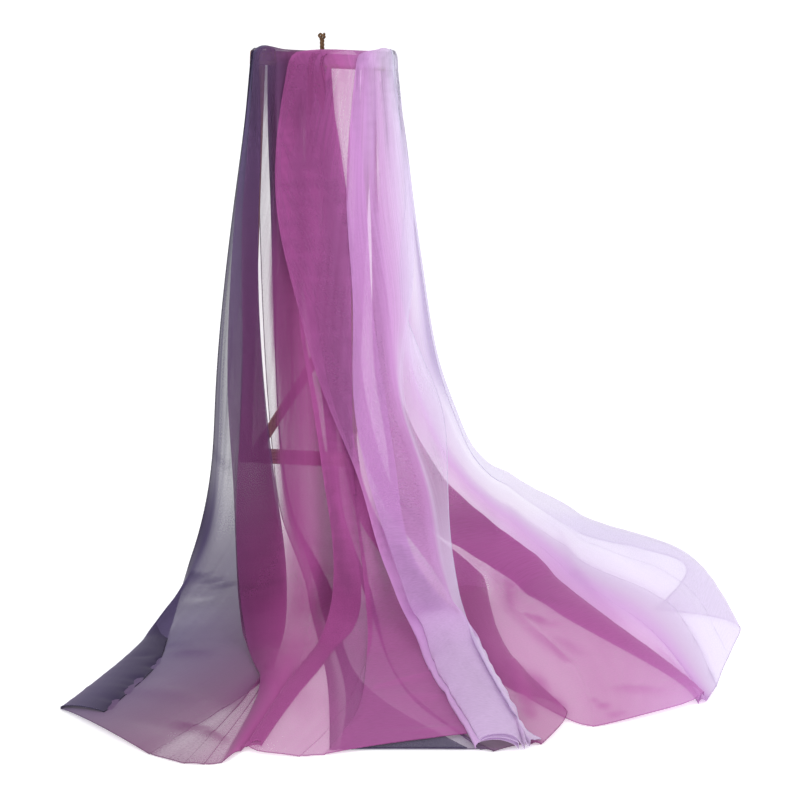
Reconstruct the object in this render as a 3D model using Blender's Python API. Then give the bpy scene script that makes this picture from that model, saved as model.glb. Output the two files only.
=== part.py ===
"""Georgette scarf draped over the top bar of a small wooden frame that hangs from a twine.

Metres, +Z up.  The origin is the top of the twine.  +X is to the right as the front is seen and
+Y is away from the front.  The frame hangs a little askew.  The scarf is one rectangle of cloth,
folded over the bar.  Its front half falls before the frame and its end lies forward on the surface.
Its back half falls behind the frame and its end is swept out to the right.
"""
from collections import namedtuple
from math import radians

import bmesh
import bpy
import numpy as np
from mathutils import Matrix, Vector

MM = 0.001

# Surface that the scarf's ends lie on, measured from the top of the twine.
SURFACE_Z = -612.0

# Wooden frame, millimetres, in its own upright position below the pivot.
PIVOT_Z = -22.0            # top face of the bar where the twine leaves it
FRAME_TILT = 2.9           # degrees, right end down
BAR_HEIGHT = 13.0
BAR_DEPTH = 13.0
BAR_LEFT = -72.0
BAR_RIGHT = 64.0
SLAT_WIDTH = 13.0
SLAT_DEPTH = 12.0
LEFT_UPRIGHT_X = -63.5
RIGHT_UPRIGHT_X = 46.7
BOTTOM_BAR_TOP = -420.5
RAIL_TOP = -318.0
RAIL_HEIGHT = 9.0
RAIL_LEFT = -4.0
BRACE_FOOT_WIDTH = 10.5
WOOD_EDGE_ROUNDING = 0.8
JOINT_GAP = 0.3

# Twine, millimetres.
TWINE_RADIUS = 2.4
BORE_RADIUS = 2.7
BORE_SIDES = 20
TWINE_SIDES = 16
TwineRing = namedtuple("TwineRing", "drop radius")
TWINE_RINGS = (
    TwineRing(0.0, 2.2),
    TwineRing(1.2, 3.2),
    TwineRing(3.6, 3.5),
    TwineRing(6.0, 2.9),
    TwineRing(8.0, TWINE_RADIUS),
    TwineRing(14.5, TWINE_RADIUS),
    TwineRing(16.5, 2.9),
    TwineRing(18.0, TWINE_RADIUS),
    TwineRing(35.3, TWINE_RADIUS),
    TwineRing(36.2, 4.3),
    TwineRing(39.5, 4.8),
    TwineRing(42.5, 3.6),
    TwineRing(43.6, 1.6),
)

# Cloth, millimetres.
WALL = 1.2
CLOTH_GAP = 0.4            # between a stretch of cloth and its neighbour, and between layers
HUNG_PITCH = 1.6           # from one hanging layer to the next
LAID_PITCH = 1.6           # from one lying layer to the next
TURN_LEG = 10.0            # how far the turn over the bar reaches down on both sides
FALL_START = TURN_LEG + CLOTH_GAP
REST_TOLERANCE = 0.05      # cloth this near its resting height is flat underneath
TRAIN_OVERLAP_LIFT = 5.6   # the front end is this much higher where the back end lies under it
LIFT_FROM_X = -52.0
LIFT_TO_X = -14.0

# Drops below the bar's top at which the tables give each fold's place.
DROPS = (FALL_START, 68.0, 148.0, 248.0, 348.0, 428.0, 508.0)
# Share of the way from the bar to its landing place that the cloth has leaned at each drop.
LEAN = (0.0, 0.03, 0.08, 0.17, 0.32, 0.50, 0.75)

# A fold line runs from the bar to the hem.  "hung" holds its X at each drop.  "landing", "middle"
# and "hem" are its X and Y on the surface.  "layer" is the layer that the cloth after this fold
# keeps to, counted towards the viewer while it hangs and upwards where it lies.
Fold = namedtuple("Fold", "name hung landing middle hem layer")

FRONT_FOLDS = (
    Fold("left_edge", (-70, -78, -90, -103, -111, -117, -137), (-179, -93), (-212, -187), (-248, -281), 0),
    Fold("band_right", (-62, -65, -69, -68, -59, -50, -39), (-42, -104), (-69, -231), (-143, -386), 1),
    Fold("band_left", (-68, -75, -86, -95, -98, -93, -87), (-78, -144), (-83, -255), (-101, -401), 2),
    Fold("hook_right", (-14, -16, -15, -23, -8, -9, 21), (32, -92), (-9, -217), (-45, -360), 1),
    Fold("hook_left", (-23, -24, -21, -30, -20, -21, 4), (0, -125), (-25, -202), (-65, -373), 0),
    Fold("pleat_right", (6, 14, 24, 28, 29, 42, 68), (74, -130), (78, -255), (52, -369), 1),
    Fold("pleat_left", (-6, -8, -7, -12, 4, 30, 55), (88, -122), (111, -235), (110, -327), 2),
    Fold("roll_right", (38, 40, 44, 49, 64, 78, 98), (159, -144), (178, -251), (166, -351), 1),
    Fold("roll_left", (24, 26, 30, 34, 36, 48, 74), (116, -152), (130, -255), (149, -364), 0),
    Fold("right_edge", (68, 82, 91, 89, 119, 126, 133), (152, -110), (186, -269), (210, -351), 0),
)

BACK_FOLDS = (
    Fold("left_edge", (-58, -58, -57, -56, -56, -54, -45), (-22, 26), (6, -207), (13, -369), 0),
    Fold("pleat_right", (-1, 7, 15, 22, 27, 34, 55), (94, 38), (142, -231), (213, -358), 1),
    Fold("pleat_left", (-23, -19, -15, -8, 3, 13, 37), (78, 34), (130, -250), (196, -366), 2),
    Fold("field", (22, 27, 33, 37, 42, 56, 88), (146, 50), (232, -165), (275, -306), 0),
    Fold("tail_upper", (52, 54, 56, 65, 75, 101, 160), (241, 76), (320, -162), (356, -290), 1),
    Fold("tail_lower", (40, 42, 45, 49, 54, 77, 123), (196, 63), (297, -150), (335, -295), 2),
    Fold("tail_sheet", (60, 67, 74, 84, 98, 127, 179), (268, 141), (351, -10), (383, -243), 1),
    Fold("right_edge", (66, 79, 88, 100, 117, 142, 183), (279, 286), (404, 132), (433, -72), 0),
)

# The cloth is still this high at its landing place, and lies flat this much further along.
LANDING_HEIGHT = 10.0
TOUCH_DISTANCE = 20.0

# Length along the cloth from the bar to each drop, landing, touch, middle and hem.
FRONT_LENGTHS = (0, 58, 138, 240, 344, 430, 524, 622, 646, 745, 860)
BACK_LENGTHS = (0, 58, 139, 242, 350, 445, 560, 672, 696, 850, 990)
TOUCH = 8                  # index of the place where the cloth first lies flat, in both lists
SEAM = 8.5                 # the lying end starts half way from there to the next place
LEAST_SQUARENESS = 0.08    # limits how far the seam opens where it runs along a fold
SLANT_OPENING = 1.0        # opens the seam further where it crosses the cloth at a slant

# Where the cloth is sampled: along between two places, and across between two folds.
ALONG_STEPS = 2
TURN_REACH = 3.0           # how far from a fold the cloth has reached its layer
WIDE_STEPS = (0.32, 0.5, 0.68)
WIDE_TURN_SHARE = 0.115    # spans whose turns are a smaller share than this are the wide ones

TurnPoint = namedtuple("TurnPoint", "inner_y inner_z outer_y outer_z")
# Section of the gathered cloth over the bar, from the foot of its front leg to that of its back.
TURN_SECTION = (
    TurnPoint(-6.9, -TURN_LEG, -14.2, -TURN_LEG),
    TurnPoint(-6.9, -5.5, -13.8, -4.5),
    TurnPoint(-6.9, -0.5, -11.0, 0.2),
    TurnPoint(-5.9, 0.3, -6.8, 2.4),
    TurnPoint(-3.2, 0.3, -3.2, 2.9),
    TurnPoint(3.2, 0.3, 3.2, 2.9),
    TurnPoint(5.9, 0.3, 6.4, 2.2),
    TurnPoint(6.9, -0.5, 9.4, 0.0),
    TurnPoint(6.9, -5.5, 11.0, -4.5),
    TurnPoint(6.9, -TURN_LEG, 11.2, -TURN_LEG),
)
TWINE_GAP_POINT = 4        # the twine comes up between this section point and the next
TWINE_GAP_X = 3.2
TURN_LEFT = -70.0
TURN_RIGHT = 68.0
TURN_STEPS_EACH_SIDE = 14
Bunch = namedtuple("Bunch", "x width height")
TURN_BUNCHES = (
    Bunch(-56.0, 13.0, 5.0),
    Bunch(-20.0, 9.0, 0.9),
    Bunch(24.0, 8.0, 0.8),
    Bunch(63.0, 7.0, 3.0),
)

MATERIALS = {
    "georgette_front": ((0.46, 0.20, 0.44), 0.80),
    "georgette_back": ((0.56, 0.34, 0.62), 0.80),
    "georgette_turn": ((0.30, 0.14, 0.32), 0.80),
    "plain_wood": ((0.30, 0.17, 0.10), 0.65),
    "jute_twine": ((0.16, 0.10, 0.05), 0.90),
}


def clear_scene():
    for old in list(bpy.data.objects):
        bpy.data.objects.remove(old, do_unlink=True)


def material(node_name, finish):
    colour, roughness = MATERIALS[finish]
    made = bpy.data.materials.new(f"{finish}_{node_name}")
    made.use_nodes = True
    shader = made.node_tree.nodes["Principled BSDF"]
    shader.inputs["Base Color"].default_value = (*colour, 1.0)
    shader.inputs["Roughness"].default_value = roughness
    shader.inputs["Metallic"].default_value = 0.0
    return made


def add_object(name, mesh, finish, parent=None):
    made = bpy.data.objects.new(name, mesh)
    bpy.context.scene.collection.objects.link(made)
    made.data.materials.append(material(name, finish))
    made.parent = parent
    return made


# ---------------------------------------------------------------- smooth curves through the tables

def curve_through(knots, values, at):
    """A smooth curve through the values at the knots that never overshoots them."""
    knots = np.asarray(knots, float)
    values = np.asarray(values, float)
    step = np.diff(knots)[:, None]
    rise = np.diff(values, axis=0) / step
    before, after = rise[:-1], rise[1:]
    weight_before = 2 * step[1:] + step[:-1]
    weight_after = step[1:] + 2 * step[:-1]
    same_way = before * after > 0
    safe_before = np.where(same_way, before, 1.0)
    safe_after = np.where(same_way, after, 1.0)
    mean = (weight_before + weight_after) / (weight_before / safe_before + weight_after / safe_after)
    slope = np.zeros_like(values)
    slope[1:-1] = np.where(same_way, mean, 0.0)
    slope[0] = rise[0]
    slope[-1] = rise[-1]
    at = np.asarray(at, float)
    span = np.clip(np.searchsorted(knots, at, side="right") - 1, 0, len(knots) - 2)
    width = step[span]
    t = ((at - knots[span])[:, None]) / width
    start, end = values[span], values[span + 1]
    start_slope, end_slope = slope[span] * width, slope[span + 1] * width
    return (
        start * (2 * t**3 - 3 * t**2 + 1)
        + start_slope * (t**3 - 2 * t**2 + t)
        + end * (3 * t**2 - 2 * t**3)
        + end_slope * (t**3 - t**2)
    )


def ease(low, high, value):
    """0 below low, 1 above high, and a smooth climb between."""
    t = np.clip((np.asarray(value, float) - low) / (high - low), 0.0, 1.0)
    return t * t * (3 - 2 * t)


# ------------------------------------------------------------------------------------- the cloth

def fold_line(fold, start_y):
    """The places of one fold line from the bar to the hem, as rows of X, Y, Z."""
    slope = np.tan(radians(FRAME_TILT))
    landing_y = fold.landing[1]
    rows = []
    for drop, x, lean in zip(DROPS, fold.hung, LEAN):
        askew = slope * x * (1 - ease(DROPS[0], DROPS[2], drop))
        rows.append((x, start_y + (landing_y - start_y) * lean, PIVOT_Z - drop - askew))
    landing, middle = np.array(fold.landing, float), np.array(fold.middle, float)
    onward = (middle - landing) / np.linalg.norm(middle - landing)
    touch = landing + onward * TOUCH_DISTANCE
    heights = (LANDING_HEIGHT, 0.0, 0.0, 0.0)
    for (x, y), height in zip((landing, touch, middle, fold.hem), heights):
        rows.append((x, y, SURFACE_Z + WALL / 2 + height))
    return np.array(rows, float)


def turn_shares(folds):
    """Share of the cloth between each two folds that takes part in the turn at either end."""
    shares = []
    for fold, after in zip(folds, folds[1:]):
        spread = np.hypot(after.middle[0] - fold.middle[0], after.middle[1] - fold.middle[1])
        shares.append(np.sqrt(TURN_REACH / (3 * spread)))
    return shares


def held_layers(folds, at):
    """The layer number across the cloth: steady between folds, turning over at each fold."""
    shares = turn_shares(folds)
    places, heights = [0], [folds[0].layer]
    for i in range(1, len(folds) - 1):
        before, after = folds[i - 1].layer, folds[i].layer
        places += [i - shares[i - 1], i, i + shares[i]]
        heights += [before, (before + after) / 2, after]
    return np.interp(at, places + [len(folds) - 1], heights + [folds[-2].layer])


def across_samples(folds):
    """Places across the cloth where it is sampled, counted in folds."""
    samples = []
    for i, share in enumerate(turn_shares(folds)):
        between = WIDE_STEPS if share < WIDE_TURN_SHARE else (0.5,)
        samples += [i, i + share, *[i + step for step in between], i + 1 - share]
    return samples + [len(folds) - 1]


def cloth_points(folds, lengths, start_y, lifted, along):
    """The middle surface of the cloth as an array indexed [along][across] of X, Y, Z."""
    across = across_samples(folds)
    lines = np.array([curve_through(lengths, fold_line(fold, start_y), along) for fold in folds])
    layers = held_layers(folds, across)
    on_surface = ease(lengths[TOUCH] - 90, lengths[TOUCH], along)
    pitches = HUNG_PITCH + (LAID_PITCH - HUNG_PITCH) * on_surface
    tangents = np.gradient(lines, along, axis=1)
    share = np.array(across)[:, None] / (len(folds) - 1)
    points = []
    for row, pitch in enumerate(pitches):
        places = curve_through(range(len(folds)), lines[:, row], across)
        tangent = tangents[0, row] * (1 - share) + tangents[-1, row] * share
        facing = np.cross(tangent, lines[-1, row] - lines[0, row])
        facing /= np.linalg.norm(facing, axis=1)[:, None]
        points.append(places + facing * (layers * pitch)[:, None])
    points = np.array(points)
    if lifted:
        lift = TRAIN_OVERLAP_LIFT * ease(LIFT_FROM_X, LIFT_TO_X, points[:, :, 0])
        points[:, :, 2] += lift * on_surface[:, None]
    return points


def along_samples(lengths):
    """Lengths along the cloth where it is sampled, and how many of them come before the seam."""
    places = np.arange(len(lengths))
    steps = np.arange(0.0, places[-1] + 0.01, 1.0 / ALONG_STEPS)
    samples = np.interp(steps, places, lengths)
    seam = np.interp(SEAM, places, lengths)
    before, after = samples[steps < SEAM], samples[steps > SEAM]
    ends = (seam - CLOTH_GAP / 2, seam + CLOTH_GAP / 2)
    return np.concatenate((before, ends, after)), len(before) + 1


def closed_wall(name, face, reverse, finish, parent=None, left_out=()):
    """A closed body between two grids of points.  left_out names grid cells that stay open."""
    rows, columns = face.shape[:2]
    shell = bmesh.new()
    top = [[shell.verts.new(p * MM) for p in line] for line in face]
    low = [[shell.verts.new(p * MM) for p in line] for line in reverse]
    cells = {(r, c) for r in range(rows - 1) for c in range(columns - 1)} - set(left_out)
    for r, c in sorted(cells):
        shell.faces.new((top[r][c], top[r][c + 1], top[r + 1][c + 1], top[r + 1][c]))
        shell.faces.new((low[r + 1][c], low[r + 1][c + 1], low[r][c + 1], low[r][c]))
        edges = (
            ((r - 1, c), (r, c + 1), (r, c)),
            ((r + 1, c), (r + 1, c), (r + 1, c + 1)),
            ((r, c - 1), (r, c), (r + 1, c)),
            ((r, c + 1), (r + 1, c + 1), (r, c + 1)),
        )
        for neighbour, a, b in edges:
            if neighbour not in cells:
                shell.faces.new((top[a[0]][a[1]], top[b[0]][b[1]], low[b[0]][b[1]], low[a[0]][a[1]]))
    loose = [v for v in shell.verts if not v.link_faces]
    bmesh.ops.delete(shell, geom=loose, context="VERTS")
    bmesh.ops.recalc_face_normals(shell, faces=shell.faces)
    bmesh.ops.triangulate(shell, faces=shell.faces)
    mesh = bpy.data.meshes.new(name)
    shell.to_mesh(mesh)
    shell.free()
    return add_object(name, mesh, finish, parent)


def cloth_wall(name, points, facing, finish):
    """A wall of even thickness about the cloth's middle surface, flat underneath where it lies."""
    face = points + facing * WALL / 2
    reverse = points - facing * WALL / 2
    resting = points[:, :, 2] < SURFACE_Z + WALL / 2 + REST_TOLERANCE
    reverse[resting, 2] = SURFACE_Z
    face[:, :, 2] = np.maximum(face[:, :, 2], SURFACE_Z)
    reverse[:, :, 2] = np.maximum(reverse[:, :, 2], SURFACE_Z)
    closed_wall(name, face, reverse, finish)


def open_seam(points, cut):
    """Keeps the two sides of the seam apart where it crosses the cloth at a slant."""
    onward = points[cut] - points[cut - 1]
    onward /= np.linalg.norm(onward, axis=1)[:, None]
    sideways = np.gradient(points[cut], axis=0)
    sideways /= np.linalg.norm(sideways, axis=1)[:, None]
    squareness = np.linalg.norm(np.cross(onward, sideways), axis=1)
    more = SLANT_OPENING * (1 / np.maximum(squareness, LEAST_SQUARENESS) - 1)
    more[1:-1] = np.maximum.reduce((more[:-2], more[1:-1], more[2:]))
    points[cut - 1] -= onward * more[:, None]
    points[cut] += onward * more[:, None]


def build_half(side, folds, lengths, start_y, lifted):
    """One half of the scarf: what falls from the bar, and the end that lies on the surface."""
    along, cut = along_samples(lengths)
    points = cloth_points(folds, lengths, start_y, lifted, along)
    facing = np.cross(np.gradient(points, along, axis=0), np.gradient(points, axis=1))
    facing /= np.linalg.norm(facing, axis=2)[:, :, None]
    open_seam(points, cut)
    finish = f"georgette_{side}"
    cloth_wall(f"scarf_{side}_fall", points[:cut], facing[:cut], finish)
    cloth_wall(f"scarf_{side}_train", points[cut:], facing[cut:], finish)


def build_scarf():
    nearest = BAR_DEPTH / 2 + CLOTH_GAP + WALL / 2
    build_half("front", FRONT_FOLDS, FRONT_LENGTHS, -nearest, lifted=True)
    behind = nearest + HUNG_PITCH * max(fold.layer for fold in BACK_FOLDS)
    build_half("back", BACK_FOLDS, BACK_LENGTHS, behind, lifted=False)


def build_turn(tilt):
    """The gathered stretch over the bar: its hidden layers share one rounded solid."""
    left = np.linspace(TURN_LEFT, -TWINE_GAP_X, TURN_STEPS_EACH_SIDE)
    right = np.linspace(TWINE_GAP_X, TURN_RIGHT, TURN_STEPS_EACH_SIDE)
    face, reverse = [], []
    for x in (*left, *right):
        bunch = sum(b.height * np.exp(-(((x - b.x) / b.width) ** 2)) for b in TURN_BUNCHES)
        outer, inner = [], []
        for point in TURN_SECTION:
            raised = bunch * ease(-TURN_LEG, 0.0, point.outer_z)
            outer.append((x, point.outer_y, point.outer_z + raised))
            inner.append((x, point.inner_y, point.inner_z))
        face.append(outer)
        reverse.append(inner)
    twine_gap = [(TURN_STEPS_EACH_SIDE - 1, TWINE_GAP_POINT)]
    closed_wall("scarf_bar_turn", np.array(face), np.array(reverse), "georgette_turn", tilt, twine_gap)


# ------------------------------------------------------------------------------ frame and twine

def slat(name, x_range, depth, z_range, tilt):
    """A plain wooden slat with eased edges, hung on the tilted frame."""
    size = (x_range[1] - x_range[0], depth, z_range[1] - z_range[0])
    centre = (sum(x_range) / 2, 0.0, sum(z_range) / 2)
    block = bmesh.new()
    bmesh.ops.create_cube(block, size=1.0, matrix=Matrix.Diagonal((*[s * MM for s in size], 1.0)))
    mesh = bpy.data.meshes.new(name)
    block.to_mesh(mesh)
    block.free()
    made = add_object(name, mesh, "plain_wood", tilt)
    made.location = [c * MM for c in centre]
    rounding = made.modifiers.new("eased_edges", "BEVEL")
    rounding.width = WOOD_EDGE_ROUNDING * MM
    rounding.segments = 1
    return made


def build_frame(tilt):
    half = SLAT_WIDTH / 2
    bar = slat("frame_top_bar", (BAR_LEFT, BAR_RIGHT), BAR_DEPTH, (-BAR_HEIGHT, 0.0), tilt)
    bore_twine_hole(bar, tilt)
    upright_z = (BOTTOM_BAR_TOP + JOINT_GAP, -BAR_HEIGHT - JOINT_GAP)
    for side, x in (("left", LEFT_UPRIGHT_X), ("right", RIGHT_UPRIGHT_X)):
        slat(f"frame_{side}_upright", (x - half, x + half), SLAT_DEPTH, upright_z, tilt)
    bottom_x = (LEFT_UPRIGHT_X - half, RIGHT_UPRIGHT_X + half)
    bottom_z = (BOTTOM_BAR_TOP - BAR_HEIGHT, BOTTOM_BAR_TOP)
    slat("frame_bottom_bar", bottom_x, SLAT_DEPTH, bottom_z, tilt)
    rail_x = (RAIL_LEFT, RIGHT_UPRIGHT_X - half - JOINT_GAP)
    slat("frame_mid_rail", rail_x, SLAT_DEPTH - 2, (RAIL_TOP - RAIL_HEIGHT, RAIL_TOP), tilt)
    build_brace(tilt)


def bore_twine_hole(bar, tilt):
    """A hole down through the bar, for the twine."""
    drill = bmesh.new()
    bmesh.ops.create_cone(
        drill, cap_ends=True, segments=BORE_SIDES, radius1=BORE_RADIUS * MM,
        radius2=BORE_RADIUS * MM, depth=2 * BAR_HEIGHT * MM,
    )
    mesh = bpy.data.meshes.new("twine_hole_cutter")
    drill.to_mesh(mesh)
    drill.free()
    cutter = bpy.data.objects.new("twine_hole_cutter", mesh)
    bpy.context.scene.collection.objects.link(cutter)
    cutter.parent = tilt
    cutter.location = (0.0, 0.0, -BAR_HEIGHT / 2 * MM)
    cutter.hide_render = True
    cutter.display_type = "WIRE"
    bore = bar.modifiers.new("twine_hole", "BOOLEAN")
    bore.operation = "DIFFERENCE"
    bore.solver = "EXACT"
    bore.object = cutter


def build_brace(tilt):
    """A slanting slat from the corner over the bottom bar up to the free end of the middle rail."""
    foot_x = LEFT_UPRIGHT_X + SLAT_WIDTH / 2 + JOINT_GAP
    foot_z = BOTTOM_BAR_TOP + JOINT_GAP
    head_z = RAIL_TOP - RAIL_HEIGHT - JOINT_GAP
    outline = (
        (foot_x, foot_z),
        (foot_x + BRACE_FOOT_WIDTH, foot_z),
        (RAIL_LEFT + BRACE_FOOT_WIDTH, head_z),
        (RAIL_LEFT, head_z),
    )
    half_depth = SLAT_DEPTH / 2 - 1
    block = bmesh.new()
    front = [block.verts.new((x * MM, -half_depth * MM, z * MM)) for x, z in outline]
    block.faces.new(front)
    grown = bmesh.ops.extrude_face_region(block, geom=block.faces[:])
    moved = [v for v in grown["geom"] if isinstance(v, bmesh.types.BMVert)]
    bmesh.ops.translate(block, verts=moved, vec=(0.0, 2 * half_depth * MM, 0.0))
    bmesh.ops.recalc_face_normals(block, faces=block.faces)
    mesh = bpy.data.meshes.new("frame_brace")
    block.to_mesh(mesh)
    block.free()
    add_object("frame_brace", mesh, "plain_wood", tilt)


def build_twine():
    """The twine as a turned body: end knot, stem, and the stopper knot under the bar."""
    turned = bmesh.new()
    angles = [2 * np.pi * k / TWINE_SIDES for k in range(TWINE_SIDES)]
    pivot = Vector((0.0, 0.0, PIVOT_Z))
    askew = Matrix.Rotation(radians(FRAME_TILT), 3, "Y")
    rings = []
    for ring in TWINE_RINGS:
        circle = []
        for angle in angles:
            point = Vector((ring.radius * np.cos(angle), ring.radius * np.sin(angle), -ring.drop))
            if point.z < PIVOT_Z:
                point = pivot + askew @ (point - pivot)
            circle.append(turned.verts.new(point * MM))
        rings.append(circle)
    for upper, lower in zip(rings, rings[1:]):
        for k in range(TWINE_SIDES):
            after = (k + 1) % TWINE_SIDES
            turned.faces.new((upper[k], upper[after], lower[after], lower[k]))
    turned.faces.new(rings[0])
    turned.faces.new(rings[-1])
    bmesh.ops.recalc_face_normals(turned, faces=turned.faces)
    mesh = bpy.data.meshes.new("hanging_twine")
    turned.to_mesh(mesh)
    turned.free()
    mesh.shade_smooth()
    add_object("hanging_twine", mesh, "jute_twine")


def main():
    clear_scene()
    tilt = bpy.data.objects.new("frame_tilt", None)
    bpy.context.scene.collection.objects.link(tilt)
    tilt.location = (0.0, 0.0, PIVOT_Z * MM)
    tilt.rotation_euler = (0.0, radians(FRAME_TILT), 0.0)
    build_frame(tilt)
    build_twine()
    build_turn(tilt)
    build_scarf()


main()
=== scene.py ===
"""Looks of the georgette scarf that hangs over a small wooden frame, built on its packed model.

The scarf is one rectangle of sheer cloth, dyed in bands from slate to lavender.  It is folded over
the top bar.  Its front half falls before the frame and lies forward on the surface, and its back
half falls behind the frame and is swept out to the right.
"""
from collections import namedtuple
from math import cos, pi, radians, sin, tan

import bpy
import numpy as np
from bpy.props import FloatProperty, FloatVectorProperty, IntProperty, PointerProperty
from bpy.types import Node, NodeSocket, Operator, Panel, PropertyGroup
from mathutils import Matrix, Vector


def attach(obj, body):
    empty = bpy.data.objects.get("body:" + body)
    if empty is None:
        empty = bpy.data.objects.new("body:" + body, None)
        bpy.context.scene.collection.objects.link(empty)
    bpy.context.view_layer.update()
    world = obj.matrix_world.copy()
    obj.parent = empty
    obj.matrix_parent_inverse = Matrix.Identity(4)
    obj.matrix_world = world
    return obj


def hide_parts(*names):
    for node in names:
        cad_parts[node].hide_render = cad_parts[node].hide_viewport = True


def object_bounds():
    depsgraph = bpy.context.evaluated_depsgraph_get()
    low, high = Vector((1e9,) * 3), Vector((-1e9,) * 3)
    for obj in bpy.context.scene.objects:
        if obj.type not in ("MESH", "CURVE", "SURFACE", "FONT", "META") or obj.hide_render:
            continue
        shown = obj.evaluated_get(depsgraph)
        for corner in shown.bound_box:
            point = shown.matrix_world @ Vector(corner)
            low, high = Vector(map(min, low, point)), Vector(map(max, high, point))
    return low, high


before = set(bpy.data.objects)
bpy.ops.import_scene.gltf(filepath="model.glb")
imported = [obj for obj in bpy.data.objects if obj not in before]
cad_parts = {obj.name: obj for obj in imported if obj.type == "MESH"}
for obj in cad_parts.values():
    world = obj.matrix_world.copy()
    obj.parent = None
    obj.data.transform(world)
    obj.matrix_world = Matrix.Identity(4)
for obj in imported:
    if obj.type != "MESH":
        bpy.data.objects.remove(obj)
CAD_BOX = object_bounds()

bl_info = {
    "name": "Georgette Scarf on Hanging Frame",
    "version": (1, 0, 0),
    "blender": (4, 5, 0),
    "location": "3D View > Sidebar > Scarf",
    "description": "Drapes a sheer dyed scarf over a small hanging frame and sets its stage",
    "category": "Object",
}

MM = 0.001

# ---- places, in millimetres
# The origin is the top of the twine, +X to the right, +Y away from the front, +Z up.

SURFACE_Z = round(CAD_BOX[0][2] / MM)
PIVOT_Z = -22.0  # top face of the bar at the twine
FRAME_TILT = tan(radians(2.9))  # how much the frame falls for each mm to the right
BAR_HALF_DEPTH = 6.5

# Drops below the bar's top at which a fold's places are given, and how much of the way to its
# landing place the cloth has leaned out at each of them.
DROPS = (10.4, 68.0, 148.0, 248.0, 348.0, 428.0, 508.0)
LEAN = (0.0, 0.03, 0.08, 0.17, 0.32, 0.50, 0.75)
LANDING_HEIGHT = 5.0  # height of the cloth where it starts to turn onto the surface
TOUCH_DISTANCE = 22.0  # and how much further on it touches the surface

# One fold line each, from the bar to the hem.  dye is its place across the cloth at each of
# DYE_PLACES, in percent from the slate edge.  hung holds its X at each drop.  foot, middle and hem
# are its X and Y on the surface.  puff is how high the cloth from this fold to the next stands off
# the surface.  dense is how much closer its yarn shows, hanging and lying.
DYE_PLACES = (0.0, 0.52, 0.74, 1.0)  # shares of the way from the bar to the hem
Fold = namedtuple("Fold", "name dye hung foot middle hem puff dense")

FRONT_FOLDS = (
    Fold("flap_edge", (0, 0, 0, 0), (-71, -78, -90, -103, -112, -118, -137),
        (-160, -82), (-165, -177), (-205, -297), 3, (1, 5)),
    Fold("left_outline", (1.5, 4, 6, 12), (-70, -76, -88, -100, -106, -110, -129),
        (-181, -96), (-212, -187), (-249, -279), 5, (1, 2.5)),
    Fold("band_right", (7, 15, 24, 26), (-64, -62, -65, -66, -60, -51, -40),
        (-42, -104), (-54, -200), (-153, -380), 1, (1, 1.5)),
    Fold("band_left", (9, 21, 26, 28), (-69, -77, -88, -96, -98, -93, -89),
        (-79, -136), (-60, -200), (-119, -399), 1, (1, 1.5)),
    Fold("band_right_under", (12, 25, 28, 30), (-65, -63, -65, -66, -61, -53, -42),
        (-44, -112), (-56, -212), (-101, -401), 0, (1, 1.5)),
    Fold("band_left_under", (15, 26, 27, 31), (-68, -73, -81, -83, -84, -89, -87),
        (-77, -142), (-60, -222), (-85, -397), 3, (0.35, 2)),
    Fold("petal_line", (21, 32, 38, 38), (-42, -45, -48, -52, -46, -42, -24),
        (-15, -104), (-30, -231), (-69, -373), 3, (2.2, 2)),
    Fold("hook_right", (31, 38, 37, 37), (-14, -13, -15, -23, -8, 6, 32),
        (33, -72), (-12, -212), (-51, -362), 3, (1.6, 2.8)),
    Fold("hook_left", (33, 40, 38, 38), (-17, -16, -18, -26, -12, 0, 10),
        (-2, -120), (-26, -197), (-64, -373), 2, (2.2, 1.2)),
    Fold("pleat_right", (36, 43, 43, 43), (1, 14, 24, 28, 29, 32, 44),
        (49, -130), (31, -255), (-14, -384), 1, (1.2, 1.1)),
    Fold("pleat_left", (38, 44, 44, 45), (-14, -15, -1, -8, 10, 28, 40),
        (45, -136), (41, -260), (9, -380), 1, (1.2, 1.7)),
    Fold("pleat_right_under", (40, 46, 47, 49), (-1, 8, 19, 23, 27, 40, 78),
        (112, -110), (158, -240), (150, -338), 2, (1.2, 0.5)),
    Fold("roll_left", (42, 59, 71, 74), (-34, -44, -47, -27, 4, 38, 64),
        (97, -140), (114, -226), (148, -370), 9, (0.6, 2.4)),
    Fold("roll_right", (58, 66, 76, 80), (38, 38, 44, 50, 64, 76, 100),
        (158, -136), (178, -251), (188, -371), 3, (1, 1.4)),
    Fold("roll_under", (64, 68, 77, 80), (34, 28, 24, 30, 31, 48, 76),
        (104, -144), (118, -232), (152, -374), 3, (0.6, 1.4)),
    Fold("panel_edge", (74, 70, 80, 81), (52, 54, 56, 68, 77, 103, 119),
        (152, -138), (175, -258), (194, -368), 2, (0.4, 0.8)),
    Fold("edge_turn", (95, 88, 84, 84), (76, 82, 91, 89, 82, 109, 124),
        (148, -132), (171, -264), (199, -364), 2, (0.3, 0.8)),
    Fold("right_edge", (100, 94, 90, 88), (71, 78, 83, 81, 119, 127, 133),
        (150, -104), (180, -267), (210, -351), 0, (1, 1)),
)

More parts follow.
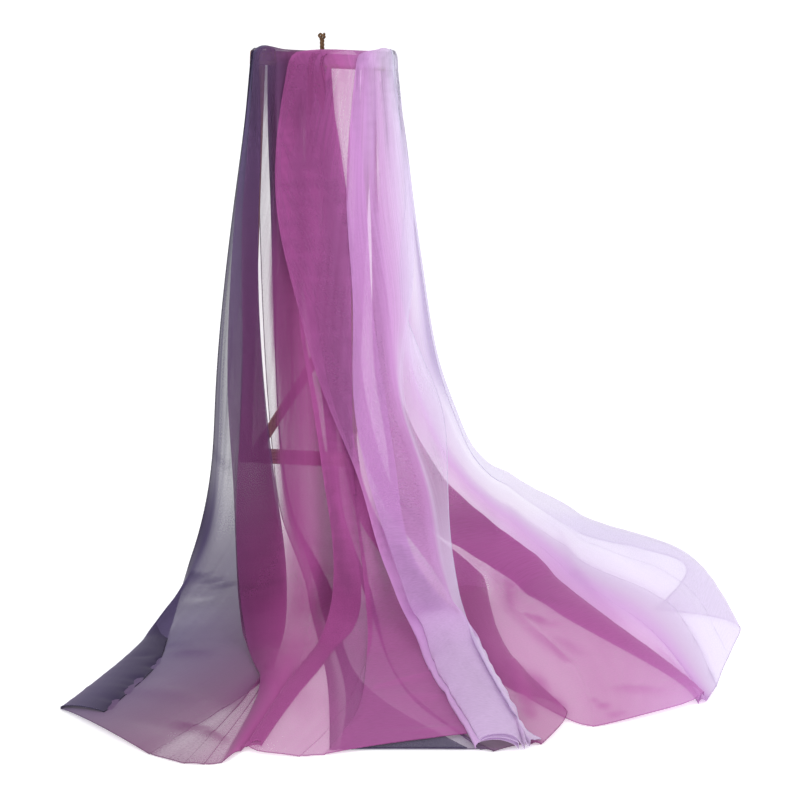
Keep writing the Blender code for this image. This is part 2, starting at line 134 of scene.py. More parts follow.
BACK_FOLDS = (
    Fold("left_edge", (0, 0, 0, 0), (-66, -66, -66, -65, -62, -57, -46),
        (-22, 22), (6, -207), (13, -369), 0, (0.4, 1)),
    Fold("left_turn", (1.5, 1.5, 2, 2), (-52, -52, -51, -52, -52, -49, -39),
        (-15, 16), (13, -207), (22, -369), 0, (1, 1)),
    Fold("slate_right", (7, 5, 5, 5), (-46, -47, -48, -50, -51, -46, -30),
        (6, 7), (46, -231), (140, -369), 0, (1, 0.9)),
    Fold("slate_left", (12, 9, 9, 9), (-55, -56, -55, -54, -52, -48, -34),
        (-10, 7), (24, -231), (22, -369), 1, (0.9, 0.9)),
    Fold("plum_right", (18, 18, 18, 18), (-13, -11, -6, 4, 9, 12, 22),
        (48, 2), (83, -231), (152, -369), 1, (1, 1.1)),
    Fold("plum_left", (21.5, 22, 22, 22), (-29, -28, -27, -22, -6, 2, 14),
        (42, -4), (90, -255), (164, -373), 2, (1, 1.1)),
    Fold("magenta_right", (31, 32, 32, 30), (2, 7, 14, 22, 27, 34, 53),
        (105, 7), (147, -231), (199, -358), 2, (1, 1.2)),
    Fold("magenta_left", (33.5, 36, 36, 34), (-8, -5, -2, 3, 9, 18, 40),
        (89, -10), (154, -255), (209, -358), 3, (1, 1.4)),
    Fold("sweep_right", (40, 43, 43, 42), (8, 12, 24, 32, 39, 55, 95),
        (170, 40), (193, -167), (238, -293), 2, (0.8, 1.6)),
    Fold("sweep_left", (43, 47, 47, 46), (4, 6, 12, 18, 25, 39, 76),
        (130, 7), (167, -190), (203, -255), 3, (0.6, 1.3)),
    Fold("field_middle", (46, 51, 52, 51), (9, 14, 29, 37, 42, 56, 88),
        (187, 31), (254, -177), (260, -318), 3, (0.5, 1.5)),
    Fold("tail_upper", (52, 52, 53, 62), (52, 54, 55, 64, 74, 101, 160),
        (241, 76), (345, -176), (373, -258), 3, (1, 2)),
    Fold("tail_lower", (57, 55, 55, 64), (40, 43, 47, 49, 52, 64, 90),
        (203, 43), (341, -190), (367, -266), 4, (1, 1.3)),
    Fold("tail_right", (63, 68, 70, 70), (58, 61, 67, 77, 88, 115, 172),
        (256, 97), (340, -82), (375, -260), 2, (1, 1.2)),
    Fold("tail_under", (68, 80, 86, 88), (62, 66, 73, 83, 95, 123, 177),
        (268, 141), (368, -21), (389, -226), 4, (1, 1)),
    Fold("sheet_middle", (82, 90, 92, 92), (65, 73, 82, 93, 108, 134, 178),
        (274, 210), (385, 52), (411, -151), 3, (1, 1)),
    Fold("far_turn", (93, 95, 95, 90), (69, 81, 91, 104, 120, 143, 182),
        (280, 281), (405, 131), (433, -72), 3, (0.6, 0.6)),
    Fold("right_edge", (100, 100, 95, 86), (67, 79, 89, 102, 118, 141, 180),
        (273, 227), (397, 110), (350, -21), 0, (1, 1)),
)

# Creases, each a soft ridge from one place to another.  width is about half its breadth, rise its
# height and dense how much closer the yarn shows along it.  Lying ones are placed by X and Y on the
# surface, hanging ones by X and drop below the bar.
Crease = namedtuple("Crease", "x across to_x to_across width rise dense")


def creases(*rows):
    return [Crease(*row) for row in rows]


FRONT_LYING_CREASES = creases(
    (-158, -125, -124, -167, 7, 2, 0.7),
    (-132, -320, -109, -327, 6, 2, 0.7),
    (-109, -327, -87, -351, 5, 2, 0.8),
    (-59, -144, -36, -164, 4, 1, 0.4),
    (-54, -187, -39, -255, 4, 1.5, 0.6),
    (-200, -240, -120, -262, 12, 1.5, 0.15),
    (-170, -215, -90, -290, 9, 1.5, -0.12),
    (-190, -320, -120, -345, 10, 1, -0.15),
    (58, -231, 114, -197, 5, 2.5, 0.5),
    (116, -283, 127, -231, 6, 2.5, -0.25),
    (152, -207, 177, -212, 4, 1.5, -0.3),
    (-200, -335, -50, -390, 34, 0.5, -0.25),
    (-150, -290, -60, -320, 38, 0.5, -0.2),
    (-18, -302, -14, -231, 7, 1.5, 0.2),
    (10, -255, 26, -347, 8, 1.5, 0.2),
    (78, -255, 130, -262, 7, 2, 0.3),
    (87, -336, 144, -330, 6, 1.5, 0.2),
)

FRONT_HANGING_CREASES = creases(
    (-150, 528, -124, 529, 3.5, 1.5, 0.7),
    (-124, 529, -96, 540, 3.5, 1.5, 0.5),
    (-156, 546, -140, 532, 3, 1, 0.6),
    (-150, 556, -118, 552, 3, 1, -0.3),
    (-116, 403, -94, 424, 3.5, 1, 0.3),
    (-20, 505, 30, 540, 6, 2, 0.2),
    (70, 470, 110, 520, 6, 2, 0.2),
    (54, 64, 55, 155, 3, 1, -0.75),
    (48, 22, 47, 110, 6, 1, 0.5),
    (66, 22, 72, 66, 4, 1, 0.5),
    (27, 84, 29, 158, 3, 1, -0.6),
    (-21, 36, -18, 124, 4.5, 1, -0.8),
    (-22, 6, -25, 52, 2.5, 1, 1),
    (-1, 8, 6, 120, 5, 1.5, 0.6),
    (6, 120, 22, 230, 6, 1.5, 0.6),
    (-37, 20, -40, 150, 5, 1, 0.3),
    (82, 110, 92, 230, 4, 1, -0.4),
    (-44, 410, -22, 560, 13, 0.5, 0.9),
)

BACK_LYING_CREASES = creases(
    (196, 43, 197, -27, 5, 2, 0.6),
    (210, -35, 237, -69, 4, 2, 0.9),
    (214, -77, 247, -162, 4, 2, 1),
    (243, -104, 263, -146, 6, 1.5, 0.3),
    (340, -136, 365, -214, 3, 1, 0.5),
    (365, -214, 374, -262, 3, 1, 0.6),
    (265, -255, 288, -302, 3, 1, 0.7),
    (292, -231, 333, -241, 7, 2, 0.5),
    (254, 210, 277, 82, 8, 2.5, 0.4),
    (277, 82, 309, -63, 7, 2.5, 0.4),
    (196, -172, 236, -284, 4, 2, 1.3),
    (192, -172, 204, -300, 5, 2, 1.1),
    (197, -27, 214, -77, 4, 1.5, 0.5),
    (168, 80, 172, 0, 7, 2, -0.4),
    (215, 10, 255, -35, 7, 2, -0.3),
    (300, 160, 352, 40, 14, 2.5, -0.2),
    (330, 200, 380, 60, 10, 2, 0.15),
    (40, 30, 100, -40, 9, 2.5, 0.3),
    (70, -60, 120, -150, 8, 2, 0.25),
    (150, 150, 220, 90, 10, 2.5, 0.2),
)

BACK_HANGING_CREASES = creases(
    (20, 470, 84, 508, 5, 2, 0.3),
    (60, 400, 120, 470, 6, 2, 0.2),
    (-40, 520, 30, 545, 5, 1.5, 0.3),
    (54, 64, 55, 155, 3, 1, -0.6),
    (-21, 36, -18, 124, 4.5, 1, -0.7),
    (36, 12, 42, 60, 5, 1, -0.4),
    (84, 140, 96, 300, 5, 1, -0.5),
)

# Heights above the surface, from and to, over which the cloth passes from lying to hanging.
FREE_HEIGHTS = (4.0, 60.0)  # gathers and layers come free
SETTLE_HEIGHTS = (6.0, 60.0)  # it no longer rests on other cloth
CREASE_HEIGHTS = (8.0, 34.0)  # hanging creases take over from lying ones
COUNT_HEIGHTS = (20.0, 60.0)  # layers are counted from the front, not from above
YARN_HEIGHTS = (12.0, 170.0)  # the yarn is as close as it hangs
STREAK_HEIGHTS = (60.0, 330.0)  # the crepe streaks are drawn out

# Drops below the bar, from and to, over which something comes or goes.
SKEW_DROPS = (10.4, 148.0)  # the bar's tilt leaves the folds
LOOSEN_DROPS = (60.0, 400.0)  # the layers stand further apart
GATHER_DROPS = (40.0, 260.0)  # the ripple of the gathers dies out
BELLY_DROPS = (30.0, 300.0)  # long soft folds grow
CRUSH_DROPS = (6.0, 85.0)  # the crushed yarn opens

LOOSENING = 0.9  # how much further apart the layers stand at last
CRUSHING = 1.6  # how much closer crushed yarn shows
CRUSHED_DYES = (0.2, 0.32)  # shares of the way across over which the crushed part ends
GATHER_LIMITS = (0.85, 2.4)  # least and most that gathering counts
LYING_LAYERS = 0.6  # how much a lying layer counts
PAINTED_SHADE_LAYERS = (3.0, 11.0)  # layers over which painted shade darkens the dye

# Small gathers of each fold at the bar.  Each value is drawn between two.
TUCKS = (2, 5)
TUCK_DEPTH = (0.8, 1.8)
TUCK_END = (110.0, 300.0)  # drop at which they have died out
TUCK_TURN = (-0.6, 0.6)  # radians
TUCK_START = 30.0  # drop at which they start to die out

# Ripples of the hanging cloth.  turn is in radians for each mm across, shift in radians, and drift
# in radians for each mm of drop.
Ripple = namedtuple("Ripple", "height turn shift drift")
GATHER_RIPPLES = (Ripple(0.9, 0.41, 0.6, 0.0), Ripple(0.6, 0.63, 2.0, 0.0))
BELLY_RIPPLES = (Ripple(2.6, 0.115, 0.8, 0.004), Ripple(1.6, 0.21, 0.0, -0.006))
GATHER_STAND = 1.6  # how far the cloth stands out at the bar
BELLY_STAND = 3.8  # and lower down

Bunch = namedtuple("Bunch", "x width height")
BUNCHES = (Bunch(-57, 12.0, 4.2), Bunch(62, 7.0, 3.0))  # gathers pushed up at the bar's ends

CLOTH_CLEARANCE = 0.35  # from the bar to the innermost layer
BAR_CORNER = 2.4  # radius of the innermost layer's turn
TURN_SINK = 1.9  # its middle's depth under the bar's top
TURN_TOP = (0.15, 0.85)  # shares of the turn between which it crosses the bar
TURN_LEG = 0.22  # share of the turn at each end in which it rises beside the bar
ROW_STEP = 5.0  # between rows of the cloth's mesh
COLUMNS_PER_FOLD = 13
TURN_ROWS = 14
HALF_MAP = 600.0  # half the width of both maps
SETTLE_CELL = 6.0  # cell of the height map
LAYER_CELL = 4.0  # cell of the map of yarn lying together
LAYER_PITCH = 0.7  # how much one layer raises the next
FLAT_ENOUGH = 0.6  # share of the way from hanging to lying at which cloth carries other cloth
SEED = 23


# ---- what a user would change

class ScarfSizes(PropertyGroup):
    """Cut and making of the scarf"""
    width: FloatProperty(
        name="Width", description="Width of the cut, from the slate edge to the lavender edge",
        default=0.70, min=0.3, max=1.4, unit="LENGTH",
    )
    length: FloatProperty(
        name="Length", description="Length of the cut, from hem to hem",
        default=1.80, min=1.0, max=2.4, unit="LENGTH",
    )
    stack: FloatProperty(
        name="Stack at the bar", description="Thickness of all gathered layers over the bar",
        default=0.0065, min=0.002, max=0.012, unit="LENGTH",
    )
    hem_radius: FloatProperty(
        name="Hem radius", description="Radius of the rolled hem",
        default=0.0005, min=0.0003, max=0.002, unit="LENGTH",
    )
    stitch_spacing: FloatProperty(
        name="Stitch spacing", description="Distance between two of the hem's whip stitches",
        default=0.0042, min=0.002, max=0.02, unit="LENGTH",
    )


class ScarfDyes(PropertyGroup):
    """Yarn cover and sheen of the dyed cloth"""
    cover: FloatProperty(
        name="Yarn cover", description="Share of the open weave that the yarn covers in one layer",
        default=0.62, min=0.1, max=0.95, subtype="FACTOR",
    )
    sheen: FloatProperty(
        name="Sheen", description="Soft glow of the twisted yarn at glancing angles",
        default=0.12, min=0.0, max=1.0, subtype="FACTOR",
    )


class FrameLooks(PropertyGroup):
    """Wood and twine"""
    strand_radius: FloatProperty(
        name="Strand radius", description="Radius of one of the twine's three strands",
        default=0.0012, min=0.0005, max=0.002, unit="LENGTH",
    )
    twist_length: FloatProperty(
        name="Twist length", description="Length of twine in which a strand goes round once",
        default=0.011, min=0.004, max=0.03, unit="LENGTH",
    )
    strands: IntProperty(name="Strands", description="Strands in the twine", default=3, min=2, max=4)


class StageLooks(PropertyGroup):
    """Floor, light and camera"""
    camera_place: FloatVectorProperty(
        name="Camera place", description="Where the camera stands",
        default=(0.078, -2.4505, 0.3645), size=3, subtype="TRANSLATION",
    )
    camera_pitch: FloatProperty(
        name="Camera pitch", description="How far the camera looks down",
        default=radians(17.0), min=0.0, max=radians(60.0), subtype="ANGLE",
    )
    camera_lens: FloatProperty(
        name="Focal length", description="Focal length on a sensor 36 mm wide, in millimetres",
        default=110.25, min=20.0, max=300.0,
    )
    sky_strength: FloatProperty(
        name="Sky strength", description="Strength of the even white light from all round",
        default=0.82, min=0.0, max=3.0,
    )


# ---- materials

def colour(text):
    """sRGB hex text as linear red, green, blue, alpha."""
    channels = [int(text[i:i + 2], 16) / 255 for i in (0, 2, 4)]
    linear = [c / 12.92 if c <= 0.04045 else ((c + 0.055) / 1.055) ** 2.4 for c in channels]
    return (*linear, 1.0)


def add_node(tree, kind, settings=None, **inputs):
    """Adds a node.  settings are its own properties; inputs go to set_inputs."""
    node = tree.nodes.new(kind)
    for name, value in (settings or {}).items():
        setattr(node, name, value)
    set_inputs(tree, node, **inputs)
    return node


def set_inputs(tree, node, **inputs):
    """Sets inputs by name, or by number as in i0.  A value may be a socket to link, or a node, which
    stands for its first output."""
    for name, value in inputs.items():
        key = int(name[1:]) if name[1:].isdigit() else name.replace("_", " ")
        if isinstance(value, Node):
            value = value.outputs[0]
        if isinstance(value, NodeSocket):
            tree.links.new(value, node.inputs[key])
        else:
            node.inputs[key].default_value = value


def calculate(tree, operation, *values):
    """A math node.  Each value is a number, a node or a socket."""
    inputs = {f"i{place}": value for place, value in enumerate(values)}
    return add_node(tree, "ShaderNodeMath", {"operation": operation}, **inputs)


def spread(tree, noise, low, high):
    """Noise, which keeps near its middle, spread between two values."""
    return add_node(tree, "ShaderNodeMapRange", i0=noise, i1=0.25, i2=0.75, i3=low, i4=high)


def vertex_value(tree, name):
    """The number stored under a name at each vertex."""
    return add_node(tree, "ShaderNodeAttribute", {"attribute_name": name}).outputs["Fac"]


def stretched_noise(tree, place, scale, **inputs):
    """Noise with about scale features in each metre, given for each axis."""
    stretched = add_node(tree, "ShaderNodeMapping", Vector=place, Scale=scale)
    return add_node(tree, "ShaderNodeTexNoise", Vector=stretched, Scale=1.0, **inputs)


def bump(tree, shader, height, strength, distance):
    """Makes the surface look raised, by up to distance in metres, where height is high."""
    raised = add_node(tree, "ShaderNodeBump", Strength=strength, Distance=distance, Height=height)
    set_inputs(tree, shader, Normal=raised)


def new_material(name):
    made = bpy.data.materials.new(name)
    made.use_nodes = True
    tree = made.node_tree
    return made, tree, tree.nodes["Principled BSDF"]


def ramp(tree, factor, stops):
    """A colour ramp over given (place, hex) stops."""
    node = add_node(tree, "ShaderNodeValToRGB", i0=factor)
    elements = node.color_ramp.elements
    while len(elements) < len(stops):
        elements.new(1.0)
    for element, (place, text) in zip(elements, stops):
        element.position = place
        element.color = colour(text)
    return node


# Dye at shares of the way across, from the slate edge to the lavender edge.
DYE_BANDS = (
    (0.00, "281C3B"),  # slate
    (0.05, "463C5C"),
    (0.11, "56496C"),
    (0.17, "5C4369"),  # plum
    (0.22, "5F345F"),
    (0.28, "713163"),
    (0.36, "9B4685"),  # magenta
    (0.53, "AB589B"),
    (0.60, "BE7ABA"),  # orchid
    (0.70, "C796CF"),  # lilac
    (0.80, "CBB2D5"),
    (0.90, "D1C3DF"),  # lavender
    (1.00, "D8D3E7"),
)


def georgette(name, dyes, is_hem=False):
    """Polyester georgette, dip-dyed: hard-twisted yarn in an open plain weave, so it is sheer and has a
    dry, grainy surface.  Painted shade deepens the dye where layers lie behind one another, and a painted
    glow of the dye lifts the folds in the shade."""
    made, tree, shader = new_material(name)
    dye = ramp(tree, vertex_value(tree, "dye"), DYE_BANDS)
    if not is_hem:
        # Painted shade: where many layers lie together, less light comes back, so the dye is darkened
        # here.
        painted_layer_shade = vertex_value(tree, "painted_layer_shade")
        value = add_node(tree, "ShaderNodeMapRange", i0=painted_layer_shade, i3=1.05, i4=0.74)
        dye = add_node(tree, "ShaderNodeHueSaturation", Value=value, Color=dye)
    # Painted glow: an emission in the dye colour stands in for light that soaks through the fine yarn, so
    # folds in the shade keep a faint glow of their dye.
    set_inputs(
        tree, shader, Base_Color=dye, Emission_Color=dye, Emission_Strength=0.12, Roughness=0.62,
        Specular_IOR_Level=0.15, Sheen_Weight=dyes.sheen, Sheen_Roughness=0.5,
    )
    if is_hem:
        # A look through the roll crosses its wall twice, so four fifths of what is behind is hidden.
        set_inputs(tree, shader, Alpha=0.55)
        return made
    cut = add_node(tree, "ShaderNodeUVMap", {"uv_map": "cut"})
    # Crepe streaks run along the cloth, about 4 mm apart and 150 mm long.
    streak = stretched_noise(tree, cut, (250.0, 6.5, 1.0), Detail=3.0)
    # They are strong in the gathers near the bar and faint where the cloth lies smooth.
    swing = spread(tree, streak, -0.32, 0.32)
    streaked = calculate(tree, "MULTIPLY_ADD", swing, vertex_value(tree, "streaks"), 1.0)
    # The yarn's twist gives a grain of about 0.9 by 1.5 mm, coarser than the thread so that it shows.
    grain = stretched_noise(tree, cut, (1100.0, 650.0, 1.0), Detail=1.0)
    grained = spread(tree, grain, 0.85, 1.15)
    dense = calculate(tree, "MULTIPLY", vertex_value(tree, "gather"), streaked)
    denser = calculate(tree, "MULTIPLY", dense, grained)
    seen_through = calculate(tree, "POWER", 1.0 - dyes.cover, denser)
    set_inputs(tree, shader, Alpha=calculate(tree, "SUBTRACT", 1.0, seen_through))
    bump(tree, shader, streak, strength=0.25, distance=0.0006)
    return made


def sanded_softwood(name, grain_axis):
    """Sanded softwood with no finish: matte, with darker late wood in lines along the slat."""
    made, tree, shader = new_material(name)
    place = add_node(tree, "ShaderNodeTexCoord")
    # Growth rings show as lines about 2 mm apart that run on for 80 mm and more.
    scale = [500.0, 500.0, 500.0]
    scale[grain_axis] = 12.0
    rings = stretched_noise(tree, place.outputs["Object"], scale, Detail=4.0, Distortion=0.6)
    wood = ramp(tree, rings, ((0.30, "A98870"), (0.52, "8C6A58"), (0.70, "6F5145")))
    set_inputs(tree, shader, Base_Color=wood, Roughness=0.7)
    bump(tree, shader, rings, strength=0.4, distance=0.0004)
    return made


def twisted_jute(name):
    """Jute twine: coarse bast fibre, dull, with uneven dark and light flecks."""
    made, tree, shader = new_material(name)
    place = add_node(tree, "ShaderNodeTexCoord")
    # Fibres show as flecks about 0.6 mm across.
    fibre = add_node(
        tree, "ShaderNodeTexNoise", Vector=place.outputs["Object"], Scale=1600.0, Detail=3.0,
    )
    shades = ramp(tree, fibre, ((0.30, "3B2A1C"), (0.55, "6A4B30"), (0.75, "8B6B47")))
    set_inputs(tree, shader, Base_Color=shades, Roughness=0.92)
    bump(tree, shader, fibre, strength=0.6, distance=0.0003)
    return made


def white_paper(name):
    """Seamless white background paper: matte and so evenly lit that only a faint shade shows."""
    made, tree, shader = new_material(name)
    set_inputs(
        tree, shader, Base_Color=colour("F4F4F6"), Roughness=0.9, Emission_Color=colour("FFFFFF"),
        Emission_Strength=0.34,
    )
    return made


# ---- curves and meshes

def slopes_without_overshoot(knots, values):
    """Slopes at the knots that keep the curve from swinging past its values."""
    step = np.diff(knots)[:, None]
    rise = np.diff(values, axis=0) / step
    before, after = rise[:-1], rise[1:]
    weight_before = 2 * step[1:] + step[:-1]
    weight_after = step[1:] + 2 * step[:-1]
    same_way = before * after > 0
    safe_before = np.where(same_way, before, 1.0)
    safe_after = np.where(same_way, after, 1.0)
    mean = (weight_before + weight_after) / (weight_before / safe_before + weight_after / safe_after)
    return np.concatenate((rise[:1], np.where(same_way, mean, 0.0), rise[-1:]))


def smooth_slopes(knots, values):
    """Slopes that also keep the curvature even, as in a bent batten."""
    count = len(knots)
    step = np.diff(knots)
    rise = np.diff(values, axis=0) / step[:, None]
    system = np.zeros((count, count))
    target = np.zeros_like(values)
    system[0, :2] = (2, 1)
    target[0] = 3 * rise[0]
    system[-1, -2:] = (1, 2)
    target[-1] = 3 * rise[-1]
    for i in range(1, count - 1):
        system[i, i - 1:i + 2] = (step[i], 2 * (step[i - 1] + step[i]), step[i - 1])
        target[i] = 3 * (step[i] * rise[i - 1] + step[i - 1] * rise[i])
    return np.linalg.solve(system, target)


def curve_through(knots, values, at, slopes=slopes_without_overshoot):
    """A smooth curve through the values at the knots, read at the places at."""
    knots = np.asarray(knots, float)
    values = np.asarray(values, float)
    slope = slopes(knots, values)
    span = np.clip(np.searchsorted(knots, at, side="right") - 1, 0, len(knots) - 2)
    width = np.diff(knots)[span][:, None]
    t = ((at - knots[span])[:, None]) / width
    return (
        values[span] * (2 * t**3 - 3 * t**2 + 1)
        + slope[span] * width * (t**3 - 2 * t**2 + t)
        + values[span + 1] * (3 * t**2 - 2 * t**3)
        + slope[span + 1] * width * (t**3 - t**2)
    )


def ease(low, high, value):
    """0 below low, 1 above high, and a smooth climb between."""
    t = np.clip((np.asarray(value, float) - low) / (high - low), 0.0, 1.0)
    return t * t * (3 - 2 * t)


def grid_mesh(name, points):
    """A mesh of quads over a grid of points in metres, indexed [row][column]."""
    rows, columns = points.shape[:2]
    corner = np.arange(rows * columns).reshape(rows, columns)
    faces = np.stack((corner[:-1, :-1], corner[:-1, 1:], corner[1:, 1:], corner[1:, :-1]), axis=-1)
    mesh = bpy.data.meshes.new(name)
    mesh.from_pydata(points.reshape(-1, 3).tolist(), [], faces.reshape(-1, 4).tolist())
    mesh.shade_smooth()
    return mesh


def border(grid):
    """The values of a grid once round its four sides."""
    sides = (grid[:, 0], grid[-1], grid[::-1, -1], grid[0, ::-1])
    return np.concatenate([side[:-1] for side in sides])


def add_object(name, data):
    made = bpy.data.objects.new(name, data)
    bpy.context.scene.collection.objects.link(made)
    return made


def add_piece(name, mesh, finish):
    mesh.materials.append(finish)
    return add_object(name, mesh)


def set_values(mesh, name, values):
    """Stores one number for each vertex."""
    layer = mesh.attributes.new(name, "FLOAT", "POINT")
    layer.data.foreach_set("value", np.asarray(values, dtype=np.float32).ravel())


# ---- the cloth

def fold_columns(folds):
    """Places across the cloth, counted in folds, closer together where it turns."""
    step = 0.5 - 0.5 * np.cos(pi * np.arange(COLUMNS_PER_FOLD) / COLUMNS_PER_FOLD)
    return np.concatenate([i + step for i in range(len(folds) - 1)] + [[len(folds) - 1.0]])


def stretch(columns, i):
    """The columns from fold i to the next, and the share of the way there at each."""
    inside = np.flatnonzero((columns >= i) & (columns <= i + 1))
    return inside, columns[inside] - i


def fold_line(fold, side):
    """Places of one fold line from the bar to the hem, for side -1 (front) or 1 (back)."""
    start_y = side * (BAR_HALF_DEPTH + CLOTH_CLEARANCE)
    rows = []
    for drop, x, lean in zip(DROPS, fold.hung, LEAN):
        askew = FRAME_TILT * x * (1 - ease(*SKEW_DROPS, drop))
        rows.append((x, start_y + (fold.foot[1] - start_y) * lean, PIVOT_Z - drop - askew))
    foot, middle = np.array(fold.foot, float), np.array(fold.middle, float)
    touch = foot + (middle - foot) / np.linalg.norm(middle - foot) * TOUCH_DISTANCE
    for (x, y), height in zip((foot, touch, middle, fold.hem), (LANDING_HEIGHT, 0.0, 0.0, 0.0)):
        rows.append((x, y, SURFACE_Z + height))
    return np.array(rows, float)


def half_points(folds, side, stack):
    """One half of the scarf as [row][column] points in millimetres, from the bar to the hem."""
    lines = np.array([fold_line(fold, side) for fold in folds])
    chords = np.linalg.norm(np.diff(lines, axis=1), axis=2).mean(axis=0)
    lengths = np.concatenate(([0.0], np.cumsum(chords)))
    along = np.linspace(0.0, lengths[-1], int(lengths[-1] / ROW_STEP) + 1)
    steady = np.array([curve_through(lengths, line, along) for line in lines])
    lines = np.array([curve_through(lengths, line, along, smooth_slopes) for line in lines])
    lines[:, :, 2] = steady[:, :, 2]
    columns = fold_columns(folds)
    spans = range(len(folds))
    across = np.array([curve_through(spans, lines[:, row], columns) for row in range(len(along))])
    drop = PIVOT_Z - across[:, :, 2]
    height = across[:, :, 2] - SURFACE_Z
    order = columns / columns[-1]
    hanging = ease(*FREE_HEIGHTS, height)
    across[:, :, 0] += tucks(columns, drop) * hanging
    loosened = stack * (1 + LOOSENING * ease(*LOOSEN_DROPS, drop))
    across[:, :, 1] += side * (order * loosened + waves(across[:, :, 0], drop)) * hanging
    shares = curve_through(spans, np.array([fold.dye for fold in folds]) / 100, columns).T
    dye = curve_through(np.array(DYE_PLACES) * lengths[-1], shares, along)
    return across, dye, close_yarn(folds, columns, height, dye)


def close_yarn(folds, columns, height, dye):
    """How much closer the yarn shows: from fold to fold, hanging and lying, and where it is
    crushed together over the left end of the bar."""
    dense = np.array([fold.dense for fold in folds[:-1]])
    hanging, lying = (fold_by_fold(columns, values, edge=0.1) for values in dense.T)
    lies = 1 - ease(*YARN_HEIGHTS, height)
    drop = PIVOT_Z - SURFACE_Z - height
    crushed = (1 - ease(*CRUSH_DROPS, drop)) * (1 - ease(*CRUSHED_DYES, dye))
    return (hanging + (lying - hanging) * lies) * (1 + CRUSHING * crushed)


def fold_by_fold(columns, values, edge):
    """One value for each stretch from fold to fold, which changes in the last share edge of it."""
    places = [i + share for i in range(len(values)) for share in (edge, 1 - edge)]
    return np.interp(columns, places, np.repeat(values, 2))


def crease_weight(flat, crease):
    """1 along a crease, fading out over its width and towards its two ends."""
    start = np.array((crease.x, crease.across), float)
    run = np.array((crease.to_x, crease.to_across), float) - start
    offset = flat - start
    share = np.clip(offset @ run / (run @ run), 0.0, 1.0)
    away = np.linalg.norm(offset - share[..., None] * run, axis=-1)
    return np.exp(-((away / crease.width) ** 2)) * np.sin(pi * (0.15 + 0.7 * share))


def press_creases(points, dense, side, lying, hanging):
    """Raises the creases of one half and draws its yarn together along them."""
    lies = 1 - ease(*CREASE_HEIGHTS, points[:, :, 2] - SURFACE_Z)
    for rows, share, axis, outward in ((lying, lies, 2, 1), (hanging, 1 - lies, 1, side)):
        across = points[:, :, 1] if axis == 2 else PIVOT_Z - points[:, :, 2]
        view = np.stack((points[:, :, 0], across), axis=-1)
        for crease in rows:
            weight = crease_weight(view, crease) * share
            points[:, :, axis] += weight * crease.rise * outward
            dense *= 1 + weight * crease.dense


def tucks(columns, drop):
    """Sideways swing of the small gathers, which is strongest at the bar and dies out below it."""
    chance = np.random.default_rng(SEED)
    swing = np.zeros_like(drop)
    for i in range(int(columns[-1])):
        inside, t = stretch(columns, i)
        count = chance.integers(*TUCKS)
        depth = chance.uniform(*TUCK_DEPTH)
        end = chance.uniform(*TUCK_END)
        turn = chance.uniform(*TUCK_TURN)
        shape = np.sin(pi * t) ** 0.7 * np.sin(2 * pi * count * t + turn)
        fading = 1 - ease(TUCK_START, end, drop[:, inside])
        swing[:, inside] += depth * shape[None, :] * fading
    return swing


def ripple(ripples, x, drop):
    return sum(r.height * np.sin(x * r.turn + r.shift + drop * r.drift) for r in ripples)


def waves(x, drop):
    """How far the hanging cloth bellies out, the same for all layers at one place."""
    gathered = (GATHER_STAND + ripple(GATHER_RIPPLES, x, drop)) * (1 - ease(*GATHER_DROPS, drop))
    return gathered + (BELLY_STAND + ripple(BELLY_RIPPLES, x, drop)) * ease(*BELLY_DROPS, drop)


def turn_points(front, back, stack):
    """The stretch over the bar, from the front's first row to the back's."""
    columns = fold_columns(FRONT_FOLDS)
    order = columns / columns[-1]
    centre = BAR_HALF_DEPTH + CLOTH_CLEARANCE - BAR_CORNER
    radius = BAR_CORNER + order * stack
    rows = []
    start_out = -front[0, :, 1] - centre - radius
    end_out = back[0, :, 1] - centre - radius
    for step in range(1, TURN_ROWS):
        share = step / TURN_ROWS
        angle = pi * share
        x = front[0, :, 0] * (1 - ease(0, 1, share)) + back[0, :, 0] * ease(0, 1, share)
        proud = start_out * max(0.0, cos(angle)) + end_out * max(0.0, -cos(angle))
        y = -centre * (1 - 2 * ease(*TURN_TOP, share)) - (radius + proud) * cos(angle)
        leg = (DROPS[0] - TURN_SINK) * (1 - ease(0.0, TURN_LEG, min(share, 1 - share)))
        bunch = bunching(x) * sin(angle)
        z = PIVOT_Z - TURN_SINK - leg + radius * sin(angle) + bunch - FRAME_TILT * x
        rows.append(np.stack((x, y, z), axis=-1))
    return np.array(rows)


def bunching(x):
    """How much higher the gathers stand over the bar at its two ends."""
    return sum(b.height * np.exp(-(((x - b.x) / b.width) ** 2)) for b in BUNCHES)


def settle(points, folds, floor, lowest_first):
    """Lays the cloth near the surface down fold by fold, each stretch on what already lies there."""
    columns = fold_columns(folds)
    near = 1 - ease(*SETTLE_HEIGHTS, points[:, :, 2] - SURFACE_Z)
    raised = np.zeros(points.shape[:2])
    for i in lowest_first:
        inside, t = stretch(columns, i)
        block = points[:, inside]
        lying = soften(floor[cells(floor, block)])
        puff = folds[i].puff * np.sin(pi * t)[None, :] * near[:, inside]
        here = lying + LAYER_PITCH + puff
        raised[:, inside] = np.maximum(raised[:, inside] * 0.5 + here * 0.5, here)
        stamp(floor, block, here, near[:, inside])
    points[:, :, 2] += raised * near


def empty_map(cell):
    count = int(2 * HALF_MAP / cell)
    return np.zeros((count, count))


def cells(grid, places):
    """The cells of a square map in which places lie, as indices of its two axes."""
    size = 2 * HALF_MAP / len(grid)
    cell = np.round((places[..., :2] + HALF_MAP) / size).astype(int)
    cell = np.clip(cell, 0, len(grid) - 1)
    return cell[..., 0], cell[..., 1]


def soften(grid, times=3):
    """Evens out a grid of values, each with its four neighbours."""
    for _ in range(times):
        padded = np.pad(grid, 1, mode="edge")
        grid = (
            padded[1:-1, 1:-1] * 0.4
            + (padded[:-2, 1:-1] + padded[2:, 1:-1] + padded[1:-1, :-2] + padded[1:-1, 2:]) * 0.15
        )
    return grid


